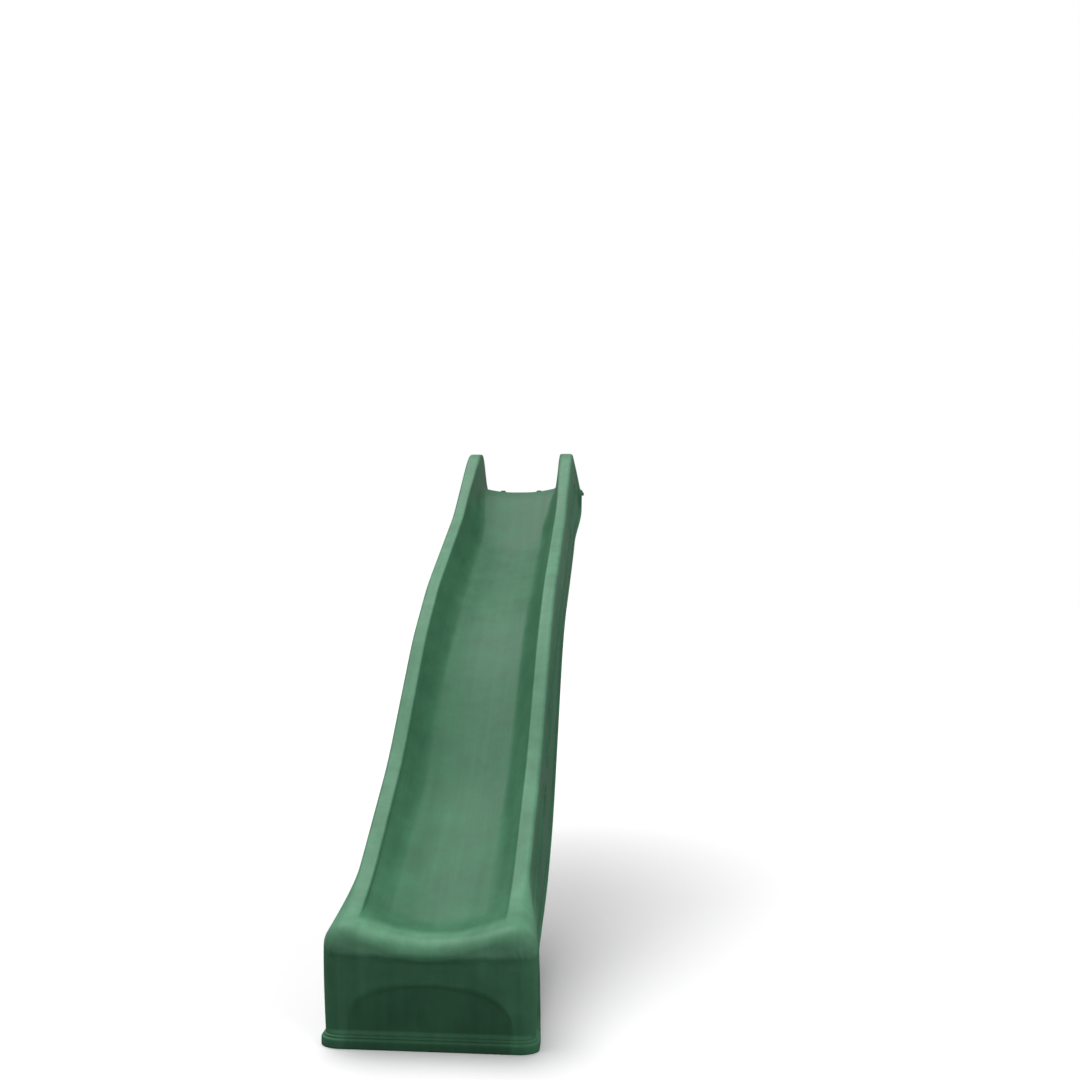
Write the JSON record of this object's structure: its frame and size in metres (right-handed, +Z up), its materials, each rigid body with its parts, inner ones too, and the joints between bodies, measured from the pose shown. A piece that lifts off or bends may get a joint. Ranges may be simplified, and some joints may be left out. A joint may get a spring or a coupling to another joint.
{
  "type": "wave slide",
  "caption": "Hollow moulded wave slide for a raised play deck, with high side walls, a boxed foot with a dished lip, and a deck plate held down by capped screws.",
  "frame": {"origin": "on the ground under the middle of the slide's plan length and width", "axes": "+Z up, -Y towards the foot where the child leaves, +Y towards the deck, +X to the right seen from the foot"},
  "size_m": [0.54, 2.44, 1.678],
  "materials": {
    "green_plastic": "satin moulded polyethylene",
    "green_plastic_underside": "satin moulded polyethylene",
    "zinc_steel": "bright zinc plate",
    "zinc_steel_washer": "bright zinc plate",
    "green_cap_plastic": "satin",
    "green_plug_plastic": "satin"
  },
  "bodies": {
    "root": {"chute_shell": "green_plastic", "underside_skin": "green_plastic_underside", "deck_screws": "zinc_steel", "deck_washers": "zinc_steel_washer", "screw_caps": "green_cap_plastic", "vent_plug": "green_plug_plastic"}
  },
  "joints": []
}
